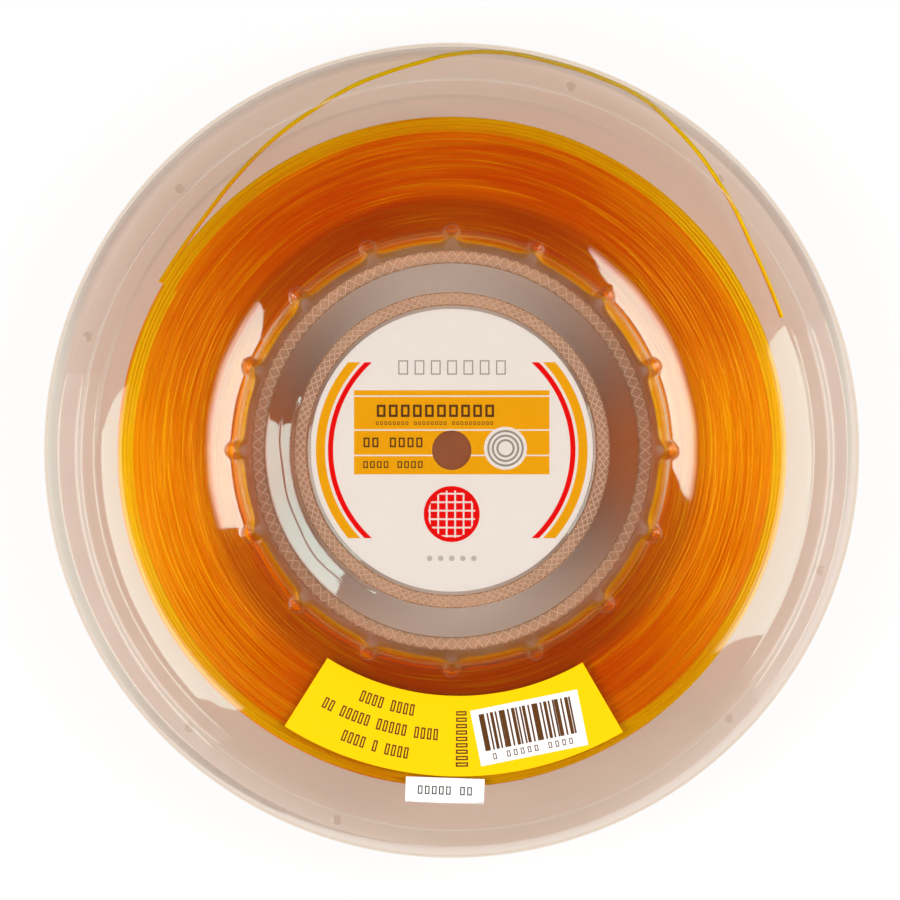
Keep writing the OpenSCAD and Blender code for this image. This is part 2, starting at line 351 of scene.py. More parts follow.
def clearSheetMaterial(name, frost=0.0, tint=sheetLook["tint"], lined=False, most=sheetLook["mostGloss"]):
    s = sheetLook
    material, graph = newMaterial(name)
    x, y, z = objectPlace(graph)
    place = graph.vector(x, y, z)
    waves = graph.noise(place, *s["waveNoise"])
    bump = graph.node("ShaderNodeBump", inputs={
        "Height": waves, "Strength": s["waveStrength"], "Distance": s["waveDepth"]})
    scuffs = graph.noise(place, *s["scuffNoise"])
    roughness = graph.change(scuffs, s["scuffs"], s["roughness"])
    clear = graph.plain("ShaderNodeBsdfTransparent", tint)
    steep = graph.plain("ShaderNodeBsdfTransparent", s["steepTint"])
    gloss = graph.plain("ShaderNodeBsdfGlossy", (1, 1, 1), Roughness=roughness, Normal=bump)
    # a steep wall is looked at through more of the sheet
    radius = length(x, y)
    # painted light: beside the string the steep clear wall is tinted amber, for the string's light seen in it
    wall = graph.plain("ShaderNodeBsdfTransparent", s["paintedWallGlow"])
    steep = graph.blend(within(radius, *s["wall"]), steep, wall)
    slope = graph.node("ShaderNodeLayerWeight", inputs={"Blend": 0.5}, out="Facing")
    body = graph.blend(((slope - s["steepFrom"]) * s["steepGain"]).clipped(), clear, steep)
    if frost:
        body = graph.blend(frost, body, graph.plain("ShaderNodeBsdfDiffuse", s["frost"]))
    if lined:
        near = 0
        for line in s["weldLines"]:
            near = (abs(radius - line) < s["lineHalf"]) + near
        least, full = s["dotRange"]
        dots = ((graph.noise(place, *s["dotNoise"]) - s["dotFrom"]) * s["dotGain"]).high(least).low(full)
        body = graph.blend(near * dots, body, graph.plain("ShaderNodeBsdfDiffuse", s["weldLine"]))
    fresnel = graph.node("ShaderNodeFresnel", inputs={"IOR": s["ior"], "Normal": bump})
    shown = graph.shares(radius, s["glossReach"], s["glossShare"])
    surface(graph, graph.blend(fresnel.low(most) * shown * s["strongest"], body, gloss))
    return material


clearSheet = clearSheetMaterial("clearSheet")
rearSheet = clearSheetMaterial("rearSheet", most=sheetLook["rearGloss"])
weldSheet = clearSheetMaterial("weldSheet", sheetLook["weldFrost"])
frostedSheet = clearSheetMaterial("frostedSheet", sheetLook["bandFrost"], sheetLook["weldTint"], True)

shell = {
    "sheet": 0.55, "holeRadius": 5.75, "labelPocket": 43.7, "pocketHeight": 0.75, "webHeight": 0.6,
    "footRadius": 62.0, "footBend": 1.2, "wallLean": 6.0, "collarHeight": 7.4, "collarWidth": 14.5,
    "shoulderWidth": 9.5, "shoulderDrop": 3.0, "shoulderEnd": 0.2, "shelfWidth": 4.0,
    "stepWidth": 2.0, "stepDrop": 1.2, "stepBend": 0.35, "stepInset": 0.45, "stepOffX": 1.0, "stepOffY": -1.4,
    # the middle and half width of the stretch that stands off centre with the step
    "stepMiddle": 114.5, "stepReach": 10.4,
    "rimShelf": 5.6, "lipRadius": 3.4, "lipGap": 0.4, "lipInset": 0.8, "lipBend": 0.35, "lipLean": 0.3,
    "lipRise": 0.1, "lipSideBend": 1.1, "lipSide": 1.6,
    # plain rings of the path, which keep the flat shelves flat beside each bend
    "pocketRings": (6.2, 25), "webRings": (44.4, 46.4, 48.6), "webSpan": (48.9, 57.1), "webSteps": 22,
    "webEnd": 59.4,
    "flangeRings": (86, 91, 96, 100.2), "besideBend": 0.3, "pocketLean": 0.4, "besideStep": 0.6,
    "besideLip": (1.9, 1.4),
    "flutes": 16, "fluteFoot": 3.6, "fluteTop": 6.0, "fluteOut": 2.0, "fluteSpan": (60.79, 72.0),
    "fluteReach": 3.4, "fluteSteps": 13, "blend": 0.28,
    # length and direction of each slow wave in the formed sheet, and where the waves come to rest
    "waves": 0.012, "ripples": ((31.0, 0.4), (19.0, 1.9), (13.0, 3.1), (23.0, 4.4), (9.0, 5.3)),
    "calmInside": 44, "calmOutside": 124, "calmReach": 6,
    # middle and half width in degrees, and height, of the stretch where the web stands up
    "buckle": (201, 42, 1.2), "buckleEnd": 6, "buckleWander": (0.06, 9), "rise": 0.1,
    "crease": 0.1, "creaseRadius": 52.6, "creaseWidth": 0.45, "creaseWander": ((0.35, 7), (0.2, 17)),
    "webGap": 0.02,
}


def shellPath():
    s = shell
    lipIn = reelRadius - s["lipRadius"]
    stepOut = lipIn - s["rimShelf"]
    stepIn = stepOut - s["stepWidth"]
    crease = stepIn - s["shelfWidth"]
    low = faceHeight - s["shoulderDrop"]
    rim = low - s["stepDrop"]
    half = s["shoulderWidth"] / 2
    fall = math.hypot(half, s["shoulderDrop"])
    pocket, beside = s["labelPocket"], s["besideBend"]
    bend, inset, lip, lipSide = s["stepBend"], s["stepInset"], s["lipBend"], s["lipSideBend"]

    def flat(height, *radii):
        return [(r, height, 0, 0) for r in radii]

    web = flat(s["pocketHeight"], s["holeRadius"], *s["pocketRings"], pocket - beside, pocket)
    web += flat(s["webHeight"], pocket + s["pocketLean"], *s["webRings"])
    web += flat(s["webHeight"], *np.linspace(*s["webSpan"], s["webSteps"]), s["webEnd"])
    web += [(s["footRadius"], s["webHeight"], s["footBend"], s["footBend"])]
    flange = [(s["footRadius"] + s["wallLean"], faceHeight, s["collarHeight"], s["collarWidth"])]
    flange += flat(faceHeight, *s["flangeRings"])
    flange += [(crease - half, faceHeight, half, fall - s["shoulderEnd"])]
    flange += flat(low, crease, crease + beside)
    edge = flat(low, stepIn - s["besideStep"])
    edge += [(stepIn + inset, low, bend, bend), (stepOut - inset, rim, bend, bend)]
    edge += flat(rim, stepOut + s["besideStep"], *[lipIn - gap for gap in s["besideLip"]])
    edge += [(lipIn - s["lipInset"], rim, lip, lip)]
    edge += [(reelRadius - s["lipLean"], rim - s["lipRadius"] + s["lipRise"], lipSide, lipSide)]
    edge += [(reelRadius, height, 0, 0) for height in (s["lipSide"], s["lipGap"] / 2)]
    return rounded(web + flange + edge)


def fluteAngles():
    # closer together across a flute than between two flutes
    period, reach = 360 / shell["flutes"], shell["fluteReach"]
    near = np.linspace(-reach, reach, shell["fluteSteps"])
    far = np.linspace(reach, period - reach, shell["fluteSteps"])[1:-1]
    one = np.concatenate([near, far])
    return np.radians(np.concatenate([one + i * period for i in range(shell["flutes"])]))


def eased(t):
    return t * t * (3 - 2 * t)


def smoothMost(a, b, k):
    h = np.clip(0.5 + 0.5 * (a - b) / k, 0, 1)
    return b + (a - b) * h + k * h * (1 - h)


def ripple(x, y, seed):
    # the slow unevenness of a formed sheet
    total, longest = 0, shell["ripples"][0][0]
    for k, (size, turn) in enumerate(shell["ripples"]):
        a = 2 * math.pi / size
        across = x * math.cos(turn) + y * math.sin(turn)
        total = total + np.sin(a * across + seed * (k + 1)) * size / longest
    return total


def buckled(r, turn):
    # the web stands up between its two welds, where the sheet cooled unevenly, and falls slowly outwards
    s = shell
    inner, outer = s["webSpan"]
    t = np.clip((r - inner) / (outer - inner), 0, 1)
    across = eased(np.clip(t / s["rise"], 0, 1)) * (1 - t)
    crease = r - s["creaseRadius"]
    for size, count in s["creaseWander"]:
        crease = crease - size * np.sin(turn * count)
    crease = crease / s["creaseWidth"]
    across = across + s["crease"] * crease * np.exp(-crease * crease) * (t < 1)
    middle, half, most = s["buckle"]
    gap = np.abs((np.degrees(turn) - middle + 180) % 360 - 180)
    end = np.clip((half - gap) / s["buckleEnd"], 0, 1)
    wander, count = s["buckleWander"]
    return across * most * eased(end) * (1 + wander * np.sin(turn * count))


def formedShell(name, node, side, seed, material):
    s = shell
    path = shellPath()
    turn = fluteAngles()
    r = path[:, 0][:, None] + 0 * turn
    h = path[:, 1][:, None] + 0 * turn
    period = 2 * math.pi / s["flutes"]
    off = (turn + period / 2) % period - period / 2
    grown = s["wallLean"] - (s["fluteTop"] - s["fluteFoot"]) / 2
    centre = s["footRadius"] + s["fluteOut"] - s["fluteFoot"] / 2 + grown * h / faceHeight
    width = (s["fluteFoot"] + (s["fluteTop"] - s["fluteFoot"]) * h / faceHeight) / 2
    tilt = math.cos(math.atan2(grown, faceHeight))
    reach = centre * np.cos(off) + np.sqrt(np.clip(width ** 2 - (centre * np.sin(off)) ** 2, 0, None)) / tilt
    onWall = (path[:, 0] > s["fluteSpan"][0]) & (path[:, 0] < s["fluteSpan"][1])
    r = np.where(onWall[:, None], smoothMost(reach, r, s["blend"]), r)
    x, y = r * np.cos(turn), r * np.sin(turn)
    # the step stands a little off centre
    shift = eased(np.clip(1 - np.abs(r - s["stepMiddle"]) / s["stepReach"], 0, 1))
    x, y = x + s["stepOffX"] * shift, y + s["stepOffY"] * shift
    inside, outside = (r - s["calmInside"]) / s["calmReach"], (s["calmOutside"] - r) / s["calmReach"]
    h = h + s["waves"] * ripple(x, y, seed) * (np.clip(outside, 0, 1) * np.clip(inside, 0, 1))
    if side > 0:
        h = h + buckled(r, turn)
    outer = np.stack([x, y, h], -1)
    along = np.gradient(outer, axis=0)
    around = np.roll(outer, -1, 1) - np.roll(outer, 1, 1)
    normal = np.cross(along, around)
    normal /= np.linalg.norm(normal, axis=-1, keepdims=True)
    inner = outer - s["sheet"] * normal
    inner[..., 2] = np.maximum(inner[..., 2], s["webGap"])
    both = np.concatenate([outer, inner[::-1]])
    both[..., 2] = both[..., 2] * side + midZ
    faces = closedRows(*both.shape[:2], side)
    return addPiece(name, both.reshape(-1, 3) * mm, faces, material, "clear_sheet", node, sharp=50)


pips = {
    "radius": 1.5, "height": 0.1, "reach": 117.6, "offX": 0.75, "offY": -1.0, "sink": 0.02,
    "front": 72.3, "rear": 46.0, "count": 4, "steps": 24,
    # shares of the radius and of the height
    "profile": ((1.0, 0.0), (0.93, 0.35), (0.82, 0.75), (0.68, 0.95), (0.35, 1.0), (0.08, 1.0)),
}


def ventPips(name, node, side, first):
    # low buttons on the rim's shelf
    p = pips
    level = faceHeight - shell["shoulderDrop"] - shell["stepDrop"] - p["sink"]
    steps, rings = p["steps"], len(p["profile"])
    points, faces = [], []
    for i in range(p["count"]):
        a = math.radians(first + 360 / p["count"] * i)
        middleX, middleY = p["offX"] + p["reach"] * math.cos(a), p["offY"] + p["reach"] * math.sin(a)
        start = len(points)
        for share, rise in p["profile"]:
            out, height = share * p["radius"], midZ + side * (level + rise * p["height"])
            for k in range(steps):
                b = 2 * math.pi * k / steps
                points.append((middleX + out * math.cos(b), middleY + out * math.sin(b), height))
        for ring in range(rings - 1):
            low, high = start + ring * steps, start + (ring + 1) * steps
            for k in range(steps):
                quad = [low + k, low + (k + 1) % steps, high + (k + 1) % steps, high + k]
                faces.append(quad[::side])
        faces.append([start + (rings - 1) * steps + k for k in range(steps)][::side])
        faces.append([start + k for k in range(steps)][::-side])
    return addPiece(name, np.array(points) * mm, faces, clearSheet, "clear_sheet", node)


formedShell("frontShell", "front_shell", 1, 1.3, clearSheet)
formedShell("rearShell", "rear_shell", -1, 4.1, rearSheet)
ventPips("frontPips", "front_shell", 1, pips["front"])
ventPips("rearPips", "rear_shell", -1, pips["rear"])
print("shells formed")


def newTree(name, whole, labels):
    tree = bpy.data.node_groups.new(name, "GeometryNodeTree")
    tree.interface.new_socket("Geometry", in_out="OUTPUT", socket_type="NodeSocketGeometry")
    kinds = {whole: "Int", **{label: "Float" for label in labels}, "Material": "Material"}
    for label, kind in kinds.items():
        tree.interface.new_socket(label, in_out="INPUT", socket_type="NodeSocket" + kind)
    graph = Graph(tree)
    start = graph.node("NodeGroupInput")
    return graph, {label: start.other(label) for label in kinds}


def endTree(graph, geometry, material):
    real = graph.node("GeometryNodeRealizeInstances", inputs={0: geometry})
    done = graph.node("GeometryNodeSetMaterial", inputs={"Geometry": real, "Material": material})
    graph.node("NodeGroupOutput", inputs={0: done})
    return graph.tree


def grow(name, tree, values, material, slot, *nodes, sharp=60):
    holder = newObject(name + "Holder", bpy.data.meshes.new(name + "Holder"))
    modifier = holder.modifiers.new("grow", "NODES")
    modifier.node_group = tree
    for item in tree.interface.items_tree:
        if item.in_out == "INPUT" and item.name in values:
            modifier[item.identifier] = values[item.name]
    depsgraph = bpy.context.evaluated_depsgraph_get()
    mesh = bpy.data.meshes.new_from_object(holder.evaluated_get(depsgraph))
    mesh.name = name
    bpy.data.objects.remove(holder)
    return finishPiece(name, mesh, material, slot, *nodes, sharp=sharp)


winding = {
    "steps": 150, "fineSteps": 480, "section": 8,
    "fluteKick": 1.9, "fluteWidth": 2.7, "fluteEnd": 73, "fluteFade": 7,
    "collarRadius": 82.5, "collarCurve": 0.0014, "crown": 0.0125, "sag": 0.7, "sagStart": 68, "sagReach": 30,
    # how far apart the noises are sampled round a turn and from turn to turn, their scale and detail
    "driftReach": 1.6, "driftStep": 1.7, "lean": (1.0, 2.0), "lift": (1.7, 1.0),
    # on each side, from the middle plane outwards
    "sides": {
        "Edge": dict(turns=2, radii=(64.2, 64.7), heights=(0.65, 1.9), wobble=(0.1, 0.1), fine=True,
                     material=amberFoot),
        "Inner": dict(turns=8, radii=(65.0, 69.0), heights=(2.6, 7.9), wobble=(0.2, 0.2), seed=3.0, fine=True,
                      material=amberInner),
        "Body": dict(turns=27, radii=(66.9, 97.4), heights=(9.0, 9.0), start=150, wobble=(2.2, 0.25),
                     thick=0.9),
        "Over": dict(turns=12, radii=(69.0, 96.0), heights=(9.25, 9.25), way=-1, start=40, wobble=(5.0, 0.3),
                     seed=5.0, material=amberOverPaintedGlint),
        "Loose": dict(turns=9, radii=(72.0, 97.5), heights=(9.3, 9.3), start=250, wobble=(7.0, 0.3),
                      seed=8.0, thick=0.5, material=amberOverPaintedGlint),
        "Last": dict(turns=4, radii=(97.6, 101.9), heights=(9.35, 8.9), start=150, wobble=(0.7, 0.2),
                     seed=9.0, thick=0.72, material=amberEdgePaintedLight),
    },
    # round the outside, from face to face
    "rounds": {
        "Outer": dict(turns=14, radii=(101.9, 101.9), heights=(-8.9, 8.9), way=-1, start=150,
                      wobble=(0.7, 0.5), crown=True),
        "Under": dict(turns=13, radii=(100.9, 100.9), heights=(8.4, -8.4), way=-1, start=10,
                      wobble=(0.7, 0.5), seed=7.0, crown=True),
    },
    # the front half of the core's outline, out from its bore
    "core": ((66.3, 0), (66.8, 5.0), (68, 6.6), (70.6, 7.85), (73, 8.5), (76, 9.05), (79, 9.45), (82.5, 9.66),
             (86, 9.68), (90, 9.68), (94, 9.68), (97, 9.68), (98.6, 9.4), (99.9, 8.9), (100.5, 7.6),
             (100.9, 4), (101.1, 0)),
    "coreSteps": 256,
}


def turnsTree():
    # turns of string along a spiral; the inner ones bend round the flutes
    w = winding
    g, v = newTree("turns", "Steps", (
        "Turns", "Start Radius", "End Radius", "Start Height", "End Height", "String Radius", "Radius Wobble",
        "Height Wobble", "Collar Radius", "Collar Curve", "Crown", "Flutes", "Flute Kick", "Sag", "Direction",
        "Start Angle", "Seed"))
    line = g.node("GeometryNodeMeshLine", inputs={"Count": v["Turns"] * v["Steps"] + 1})
    turn = g.node("GeometryNodeInputIndex") / v["Steps"]
    share = turn / v["Turns"]
    angle = turn * v["Direction"] * (2 * math.pi) + v["Start Angle"]
    radius = v["Start Radius"] + (v["End Radius"] - v["Start Radius"]) * share
    height = v["Start Height"] + (v["End Height"] - v["Start Height"]) * share
    reach = w["driftReach"]
    spot = g.vector(angle.cos() * reach, angle.sin() * reach, turn * w["driftStep"] + v["Seed"])
    lean, lift = g.noise(spot, *w["lean"]), g.noise(spot, *w["lift"])
    radius = radius + (lean - 0.5) * v["Radius Wobble"]
    gap = 2 * math.pi / v["Flutes"]
    # one flute's influence falls off over a few millimetres along the turn and outwards
    along = abs((angle / gap + 0.5).fract() - 0.5) * gap * radius / (w["fluteWidth"] * mm)
    near = ((w["fluteEnd"] * mm - radius) / (w["fluteFade"] * mm)).clipped()
    radius = radius + (along * along * -1).power() * near * v["Flute Kick"]
    sagging = ((radius - w["sagStart"] * mm) / (w["sagReach"] * mm)).clipped()
    radius = radius - angle.sin() * v["Sag"] * sagging
    fallen = (v["Collar Radius"] - radius).high(0)
    height = height * (1 - fallen * fallen * v["Collar Curve"]) + (lift - 0.5) * v["Height Wobble"]
    radius = radius - height * height * v["Crown"]
    place = g.vector(angle.cos() * radius, angle.sin() * radius, height + midZ * mm)
    moved = g.node("GeometryNodeSetPosition", inputs={"Geometry": line, "Position": place})
    curve = g.node("GeometryNodeMeshToCurve", inputs={"Mesh": moved})
    section = g.node("GeometryNodeCurvePrimitiveCircle", inputs={
        "Resolution": w["section"], "Radius": v["String Radius"]})
    tube = g.node("GeometryNodeCurveToMesh", inputs={
        "Curve": curve, "Profile Curve": section, "Fill Caps": True})
    return endTree(g, tube, v["Material"])


def woundLayer(name, up, turns, radii, heights, wobble, way=1, start=0, seed=0.0, fine=False,
               thick=stringLook["radius"], crown=False, material=amberString):
    w = winding
    return grow(name, turnsShape, {
        "Steps": w["fineSteps"] if fine else w["steps"], "Turns": float(turns), "String Radius": thick * mm,
        "Start Radius": radii[0] * mm, "End Radius": radii[1] * mm,
        "Start Height": up * heights[0] * mm, "End Height": up * heights[1] * mm,
        "Radius Wobble": wobble[0] * mm, "Height Wobble": wobble[1] * mm,
        "Collar Radius": w["collarRadius"] * mm, "Collar Curve": w["collarCurve"] / mm / mm,
        "Crown": crown * w["crown"] / mm, "Flutes": float(shell["flutes"]), "Flute Kick": w["fluteKick"] * mm,
        "Sag": w["sag"] * mm, "Direction": float(up * way), "Start Angle": math.radians(start),
        "Seed": seed + 20.0 * (up < 0), "Material": material,
    }, material, "amber_string", "string_winding")


def windingCore():
    # the turns lie so close that only their crests stand out of one clear body
    front, steps = list(winding["core"]), winding["coreSteps"]
    path = np.array(front + [(r, -h) for r, h in reversed(front[1:-1])])
    return lathe("windingCore", path[::-1], steps, amberString, "amber_string", "string_winding")


turnsShape = turnsTree()
windingCore()
for sideName, up in (("Front", 1), ("Rear", -1)):
    for layerName, layer in winding["sides"].items():
        woundLayer(f"winding{sideName}{layerName}", up, **layer)
for layerName, layer in winding["rounds"].items():
    woundLayer(f"winding{layerName}", 1, **layer)
print("string wound")


def knurlTree():
    g, v = newTree("knurl", "Count", (
        "Radius", "Rib Length", "Rib Width", "Rib Height", "Slant", "Height"))
    ring = g.node("GeometryNodeMeshCircle", inputs={"Vertices": v["Count"], "Radius": v["Radius"]})
    lifted = g.node("GeometryNodeTransform", inputs={
        "Geometry": ring, "Translation": g.vector(z=v["Height"])})
    size = g.vector(v["Rib Length"], v["Rib Width"], v["Rib Height"])
    rib = g.node("GeometryNodeMeshCube", inputs={"Size": size})
    angle = g.node("GeometryNodeInputIndex") / v["Count"] * (2 * math.pi)
    rows = g.node("GeometryNodeJoinGeometry")
    for slant in (1, -1):
        turned = g.vector(z=angle + v["Slant"] * slant)
        ribs = g.node("GeometryNodeInstanceOnPoints", inputs={
            "Points": lifted, "Instance": rib, "Rotation": turned})
        g.tree.links.new(ribs.socket, rows.socket.node.inputs[0])
    return endTree(g, rows, v["Material"])


knurl = {
    "count": 114, "ribWidth": 0.28, "ribHeight": 0.24, "lift": 0.03,
    # the middle radius, rib length and slant of each row
    "rows": {"Outer": (59.4, 5.0, 39), "InnerA": (45.5, 3.1, 51), "InnerB": (47.5, 3.1, 51)},
    # the inner and outer radius of each weld, which a low ridge edges on both sides
    "bands": {"Outer": (57.4, 61.4), "Inner": (44.5, 48.5)}, "bandLift": 0.05, "bandSteps": 360,
    "ridgeLift": 0.2, "ridgeWidth": 0.26,
}
knurlShape = knurlTree()


def knurlRow(name, side, radius, ribLength, slant):
    k = knurl
    height = midZ + side * (shell["webHeight"] + k["lift"])
    grow(name, knurlShape, {
        "Count": k["count"], "Radius": radius * mm, "Rib Length": ribLength * mm,
        "Rib Width": k["ribWidth"] * mm, "Rib Height": k["ribHeight"] * mm, "Slant": math.radians(slant),
        "Height": height * mm, "Material": weldSheet}, weldSheet, "clear_sheet")


def weldBand(name, side, low, high):
    k = knurl
    base, wide = shell["webHeight"], k["ridgeWidth"]
    ridge, top = base + k["ridgeLift"], base + k["bandLift"]
    band = [(low, base), (low, ridge), (low + wide, ridge), (low + wide, top)]
    band += [(high - wide, top), (high - wide, ridge), (high, ridge), (high, base)]
    band = np.array([(r, side * h) for r, h in band])
    lathe(name, band[::-side], k["bandSteps"], frostedSheet, "clear_sheet")


for sideName, side in (("front", 1), ("rear", -1)):
    for place, row in knurl["rows"].items():
        knurlRow(f"{sideName}Knurl{place}", side, *row)
    for place, band in knurl["bands"].items():
        weldBand(f"{sideName}Weld{place}", side, *band)
print("welds knurled")


paperLook = {
    "grain": (2.2, 4.0), "fibre": (0.12, 2.0), "tone": 0.97, "toneSpan": 0.03, "roughSpan": 0.1,
    "bump": 0.04, "bumpDepth": 0.0001, "ior": 1.3, "specular": 0.2, "coatRoughness": 0.12,
}


def printed(graph, x, y, colour, roughness, coat=0.0):
    # a printed paper face with a faint grain
    p = paperLook
    place = graph.vector(x, y)
    grain, fibre = graph.noise(place, *p["grain"]), graph.noise(place, *p["fibre"])
    tone = grain * p["toneSpan"] + fibre * p["toneSpan"] + p["tone"]
    toned = graph.node("ShaderNodeVectorMath", {"operation": "SCALE"}, {0: colour, "Scale": tone})
    bump = graph.node("ShaderNodeBump", inputs={
        "Height": grain, "Strength": p["bump"], "Distance": p["bumpDepth"]})
    surface(graph, graph.node("ShaderNodeBsdfPrincipled", inputs={
        "Base Color": toned, "Roughness": roughness + grain * p["roughSpan"], "IOR": p["ior"],
        "Specular IOR Level": p["specular"], "Coat Weight": coat, "Coat Roughness": p["coatRoughness"],
        "Normal": bump}))


def boxes(u, v, pitch, count, half, stroke, gaps=()):
    # a row of small outlined boxes that starts at u = 0, with some places left bare
    cell = u / pitch
    rim = (abs(cell.fract() - 0.5) * pitch - half[0]).high(abs(v) - half[1])
    mask = within(rim, -stroke, 0) * within(cell, 0, count)
    for gap in gaps:
        mask = mask * (1 - within(cell, gap, gap + 1))
    return mask


def turned(u, v, degrees):
    t = math.radians(degrees)
    return u * math.cos(t) + v * math.sin(t), v * math.cos(t) - u * math.sin(t)


card = {
    "hole": 6.05, "radius": 43.4, "thick": 0.3, "steps": 256, "roughness": 0.42,
    "paper": (0.99, 0.98, 1.0), "yellow": (1.0, 0.49, 0.0), "red": (0.95, 0.0, 0.0),
    "ink": (0.13, 0.05, 0.012), "grey": (0.36, 0.34, 0.33), "pale": (0.62, 0.6, 0.59),
    "edgeRed": (36.4, 38.0), "edgeYellow": (38.9, 41.7), "edgeReach": 27.0,
    "band": (-7.4, 18.4), "bandHalf": 30.0, "bandLines": (-1.6, 6.2, 16.6), "lineHalf": 0.22,
    # a disc crossed by a net, a disc of rings and a row of dots
    "netMiddle": -19.6, "netRadius": 8.6, "netEdge": 1.3, "netPitch": 2.6, "netOpen": 0.8,
    "coilMiddle": (16.5, 0.6), "coilRadius": 6.6, "coilPitch": 1.4, "coilOpen": 0.55, "coilRings": (1.6, 6.2),
    "dotsPlace": -33.2, "dotsPitch": 3.4, "dots": 5, "dotRadius": 0.85,
    # start, height on the card, pitch, count, half sizes, stroke and bare places of each row of boxes
    "rows": (((-23.5, 12.1), 3.7, 10, (1.35, 1.9), 0.72, ()),
             ((-23.5, 8.3), 1.3, 28, (0.42, 0.5), 0.2, (8, 17)),
             ((-27.5, 2.4), 2.7, 7, (0.95, 1.5), 0.5, (2,)),
             ((-27.5, -4.4), 2.1, 9, (0.72, 1.05), 0.36, (4,))),
    "heading": ((-17.4, 25.4), 5.0, 7, (1.5, 2.2), 0.36, ()),
}


def cardMaterial():
    c = card
    material, graph = newMaterial("cardPaper")
    x, y, _ = objectPlace(graph)
    facing = graph.node("ShaderNodeNewGeometry", out="Normal")
    x = x * graph.node("ShaderNodeSeparateXYZ", inputs={0: facing}, out="Z").sign()
    radius = length(x, y)
    sides = abs(y) < c["edgeReach"]
    colour = graph.mix(within(radius, *c["edgeRed"]) * sides, c["paper"], c["red"])
    colour = graph.mix(within(radius, *c["edgeYellow"]) * sides, colour, c["yellow"])
    band = within(y, *c["band"]) * (abs(x) < c["bandHalf"])
    colour = graph.mix(band, colour, c["yellow"])
    lines = 0
    for place in c["bandLines"]:
        lines = (abs(y - place) < c["lineHalf"]) + lines
    colour = graph.mix(band * lines, colour, c["paper"])
    marks = 0
    for (left, middle), *row in c["rows"]:
        marks = boxes(x - left, y - middle, *row) + marks
    colour = graph.mix(marks, colour, c["ink"])
    (left, middle), *row = c["heading"]
    colour = graph.mix(boxes(x - left, y - middle, *row), colour, c["grey"])
    coil = length(x - c["coilMiddle"][0], y - c["coilMiddle"][1])
    colour = graph.mix(coil < c["coilRadius"], colour, c["paper"])
    rings = ((coil / c["coilPitch"]).fract() > c["coilOpen"]) * within(coil, *c["coilRings"])
    colour = graph.mix(rings, colour, c["grey"])
    netY = y - c["netMiddle"]
    net = length(x, netY)
    upright, level = [(v / c["netPitch"] + 0.5).fract() > c["netOpen"] for v in (x, netY)]
    strands = upright.high(level)
    holes = strands * (net < c["netRadius"] - c["netEdge"])
    colour = graph.mix((net < c["netRadius"]) * (1 - holes), colour, c["red"])
    dots = length(((x / c["dotsPitch"] + 0.5).fract() - 0.5) * c["dotsPitch"], y - c["dotsPlace"])
    colour = graph.mix((dots < c["dotRadius"]) * (abs(x) < c["dotsPitch"] * c["dots"] / 2), colour, c["pale"])
    printed(graph, x, y, colour, c["roughness"])
    return material


def cardDisc():
    half, hole, radius = card["thick"] / 2, card["hole"], card["radius"]
    path = np.array([(hole, -half), (radius, -half), (radius, half), (hole, half)])
    return lathe("centreLabel", path, card["steps"], cardMaterial(), "printed_card", "centre_label", sharp=30)


sizeLabel = {
    "inner": 74.9, "width": 24.5, "middle": 269.0, "span": 62.5, "shift": 2.1, "roughness": 0.3, "coat": 0.15,
    "yellow": (0.92, 0.54, 0.0), "ink": (0.1, 0.035, 0.008),
    # radius, start angle, count and bare places of each row of boxes
    "rows": ((80.4, 248.0, 9, (4,)), (86.9, 241.6, 19, (2, 8, 14)), (93.6, 247.6, 11, (4, 6))),
    "box": (0.68, 1.75), "pitch": 1.95, "stroke": 0.46, "column": (79.2, 270.6, 9), "columnRadius": 88,
    # the white patch, the pitch and open share of its two combs of bars, and the boxes below them
    "patch": (0.88, 0.85, 0.84), "patchMiddle": (23.6, -84.6), "patchTurn": 11.4, "patchHalf": (16.6, 8.6),
    "combs": ((1.27, 0.55), (3.31, 0.7)), "bars": (-4.4, 7.0), "barsHalf": 14.4,
    "under": ((-13.0, -6.4), 2.15, 12, (0.55, 0.95), 0.3, (1, 7)), "grid": (80, 24),
}


def sizeMaterial():
    s = sizeLabel
    material, graph = newMaterial("yellowSticker")
    x, y, _ = objectPlace(graph)
    across = x - s["shift"]
    radius = length(across, y)
    angle = graph.math("ARCTAN2", y, across) + 2 * math.pi
    marks = 0
    for rowRadius, start, count, gaps in s["rows"]:
        along = (angle - math.radians(start)) * rowRadius
        marks = boxes(along, radius - rowRadius, s["pitch"], count, s["box"], s["stroke"], gaps) + marks
    start, turn, count = s["column"]
    beside = (angle - math.radians(turn)) * s["columnRadius"]
    marks = boxes(radius - start, beside, s["pitch"], count, s["box"], s["stroke"]) + marks
    colour = graph.mix(marks, s["yellow"], s["ink"])
    u, v = turned(x - s["patchMiddle"][0], y - s["patchMiddle"][1], s["patchTurn"])
    colour = graph.mix((abs(u) < s["patchHalf"][0]) * (abs(v) < s["patchHalf"][1]), colour, s["patch"])
    # two uneven combs laid over each other
    first, second = [(u / pitch).fract() > bare for pitch, bare in s["combs"]]
    bars = first.high(second) * within(v, *s["bars"]) * (abs(u) < s["barsHalf"])
    (left, below), *row = s["under"]
    bars = boxes(u - left, v - below, *row) + bars
    colour = graph.mix(bars, colour, s["ink"])
    printed(graph, x, y, colour, s["roughness"], s["coat"])
    return material


batchLabel = {
    "length": 24.0, "height": 7.8, "left": 2.1, "below": 103.7, "tilt": -2.0, "paper": (0.88, 0.85, 0.83),
    "ink": (0.03, 0.03, 0.03), "start": -8.6, "row": (2.15, 8, (0.72, 1.3), 0.36, (5,)), "roughness": 0.35,
    "coat": 0.2, "grid": (40, 16),
}


def batchMaterial():
    b = batchLabel
    material, graph = newMaterial("whiteSticker")
    x, y, _ = objectPlace(graph)
    u, v = turned(x + b["left"], y + b["below"], b["tilt"])
    colour = graph.mix(boxes(u - b["start"], v, *b["row"]), b["paper"], b["ink"])
    printed(graph, x, y, colour, b["roughness"], b["coat"])
    return material


